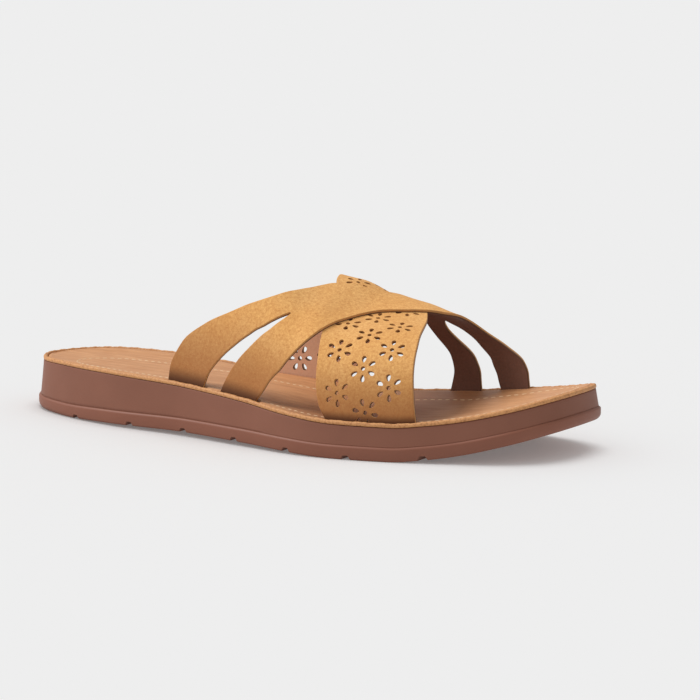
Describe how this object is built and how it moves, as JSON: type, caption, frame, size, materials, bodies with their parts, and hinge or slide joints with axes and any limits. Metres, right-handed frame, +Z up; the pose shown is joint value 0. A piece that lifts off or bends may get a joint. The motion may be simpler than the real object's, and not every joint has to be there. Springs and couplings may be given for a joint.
{
  "type": "mule sandal",
  "caption": "Flat slip-on mule sandal with a grooved sole, a bound footbed and two crossing straps over the instep, one plain with split ends and one perforated.",
  "frame": {"origin": "middle of the ground under the sandal, at the bottom centre of its bounding box", "axes": "+Z up, +Y from the heel to the toe, +X to the outer side of the right foot"},
  "size_m": [0.0952, 0.2594, 0.0654],
  "materials": {
    "outsole": "satin",
    "midsole": "satin",
    "edge_binding": "matt",
    "insole": "satin",
    "upper": "matt nubuck"
  },
  "bodies": {
    "root": {"outsole": "outsole", "midsole": "midsole", "edge_binding": "edge_binding", "insole": "insole", "upper": "upper"}
  },
  "joints": []
}
